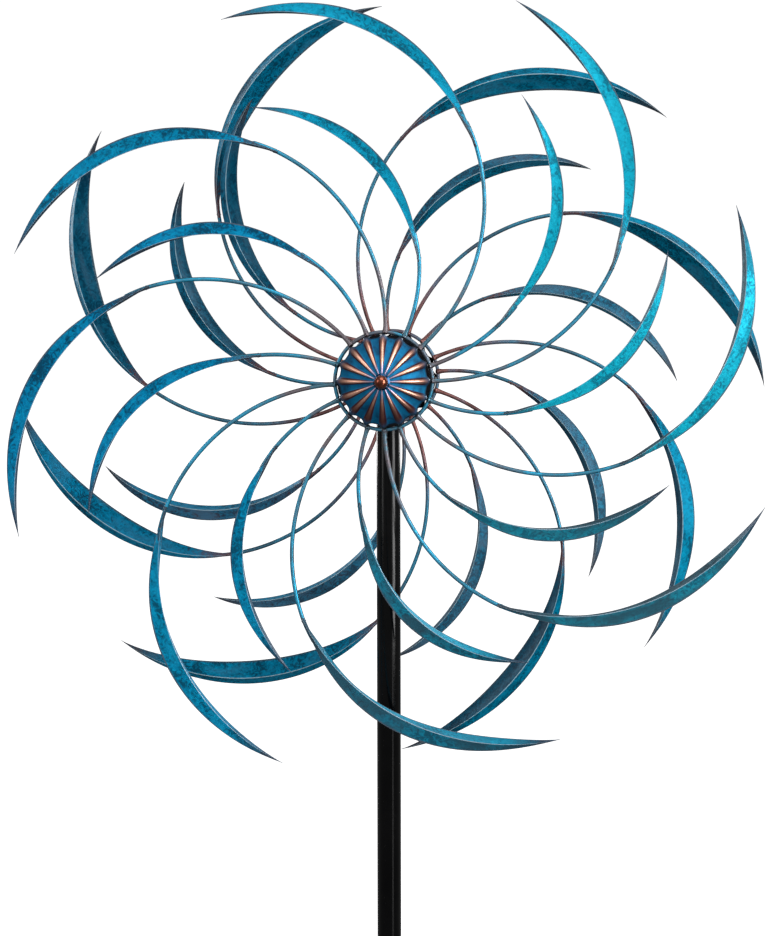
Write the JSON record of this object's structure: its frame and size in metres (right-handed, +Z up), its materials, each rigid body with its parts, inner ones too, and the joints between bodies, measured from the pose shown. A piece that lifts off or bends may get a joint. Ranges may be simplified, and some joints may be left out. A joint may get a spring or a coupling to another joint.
{
  "type": "wind spinner",
  "caption": "Garden wind spinner: counter-rotating wheels of creased crescent metal blades on curved wire arms, on an axle at the top of a tubular pole with a pronged ground stake.",
  "frame": {"origin": "on the underside of the ground stake's step plate, at soil level, on the pole's centreline", "axes": "+Z up the pole, -Y the front, where the front wheel and its dome face, +X to the right seen from the front"},
  "size_m": [0.6147, 0.1798, 1.9135],
  "materials": {
    "front_blades": "metallic blue lacquer, brushed and mottled, thin worn edges",
    "rear_blades": "metallic teal lacquer, brushed, with rusty brown patches",
    "front_wires": "teal lacquer fading to grey-brown steel at the hub",
    "rear_wires": "dark copper-brown fading to teal towards the blades",
    "domes": "metallic blue lacquer with copper-coloured ridges",
    "ball_nuts": "polished copper colour",
    "hardware": "zinc plated",
    "bearings": "polished bearing steel",
    "pole": "gloss black powder coat",
    "stake": "semi-gloss black powder coat"
  },
  "bodies": {
    "stand": {"ground_stake": "stake", "pole_socket": "stake", "thumb_screw": "hardware", "lower_pole": "pole", "middle_pole": "pole", "upper_pole": "pole", "head_tee": "pole", "head_set_screw": "hardware", "axle": "hardware", "front_spacer": "hardware", "front_inner_race": "bearings", "front_standoff": "hardware", "front_dome": "domes", "front_ball_nut": "ball_nuts", "rear_spacer": "hardware", "rear_inner_race": "bearings", "rear_standoff": "hardware", "rear_dome": "domes", "rear_ball_nut": "ball_nuts"},
    "front_wheel": {"front_wire_frame": "front_wires", "front_hub_plate": "front_wires", "front_outer_race": "bearings", "front_long_blade_1": "front_blades", "front_long_blade_2": "front_blades", "front_long_blade_3": "front_blades", "front_long_blade_4": "front_blades", "front_long_blade_5": "front_blades", "front_long_blade_6": "front_blades", "front_long_blade_7": "front_blades", "front_long_blade_8": "front_blades", "front_short_blade_1": "front_blades", "front_short_blade_2": "front_blades", "front_short_blade_3": "front_blades", "front_short_blade_4": "front_blades", "front_short_blade_5": "front_blades", "front_short_blade_6": "front_blades", "front_short_blade_7": "front_blades", "front_short_blade_8": "front_blades"},
    "front_bearing_cage": {"front_ball_cage": "bearings"},
    "rear_wheel": {"rear_wire_frame": "rear_wires", "rear_hub_plate": "rear_wires", "rear_outer_race": "bearings", "rear_long_blade_1": "rear_blades", "rear_long_blade_2": "rear_blades", "rear_long_blade_3": "rear_blades", "rear_long_blade_4": "rear_blades", "rear_long_blade_5": "rear_blades", "rear_long_blade_6": "rear_blades", "rear_long_blade_7": "rear_blades", "rear_long_blade_8": "rear_blades", "rear_short_blade_1": "rear_blades", "rear_short_blade_2": "rear_blades", "rear_short_blade_3": "rear_blades", "rear_short_blade_4": "rear_blades", "rear_short_blade_5": "rear_blades", "rear_short_blade_6": "rear_blades", "rear_short_blade_7": "rear_blades", "rear_short_blade_8": "rear_blades"},
    "rear_bearing_cage": {"rear_ball_cage": "bearings"}
  },
  "joints": [
    {"name": "front_wheel_spin", "type": "hinge", "parent": "stand", "child": "front_wheel", "pos_m": [0, 0, 1.42], "axis": [0, 1, 0], "continuous": true},
    {"name": "front_cage_spin", "type": "hinge", "parent": "stand", "child": "front_bearing_cage", "pos_m": [0, 0, 1.42], "axis": [0, 1, 0], "continuous": true},
    {"name": "rear_wheel_spin", "type": "hinge", "parent": "stand", "child": "rear_wheel", "pos_m": [0, 0, 1.42], "axis": [0, 1, 0], "continuous": true},
    {"name": "rear_cage_spin", "type": "hinge", "parent": "stand", "child": "rear_bearing_cage", "pos_m": [0, 0, 1.42], "axis": [0, 1, 0], "continuous": true}
  ],
  "couplings": [
    {"joint": "front_cage_spin", "follows": "front_wheel_spin", "ratio": 0.621},
    {"joint": "rear_cage_spin", "follows": "rear_wheel_spin", "ratio": 0.621}
  ]
}
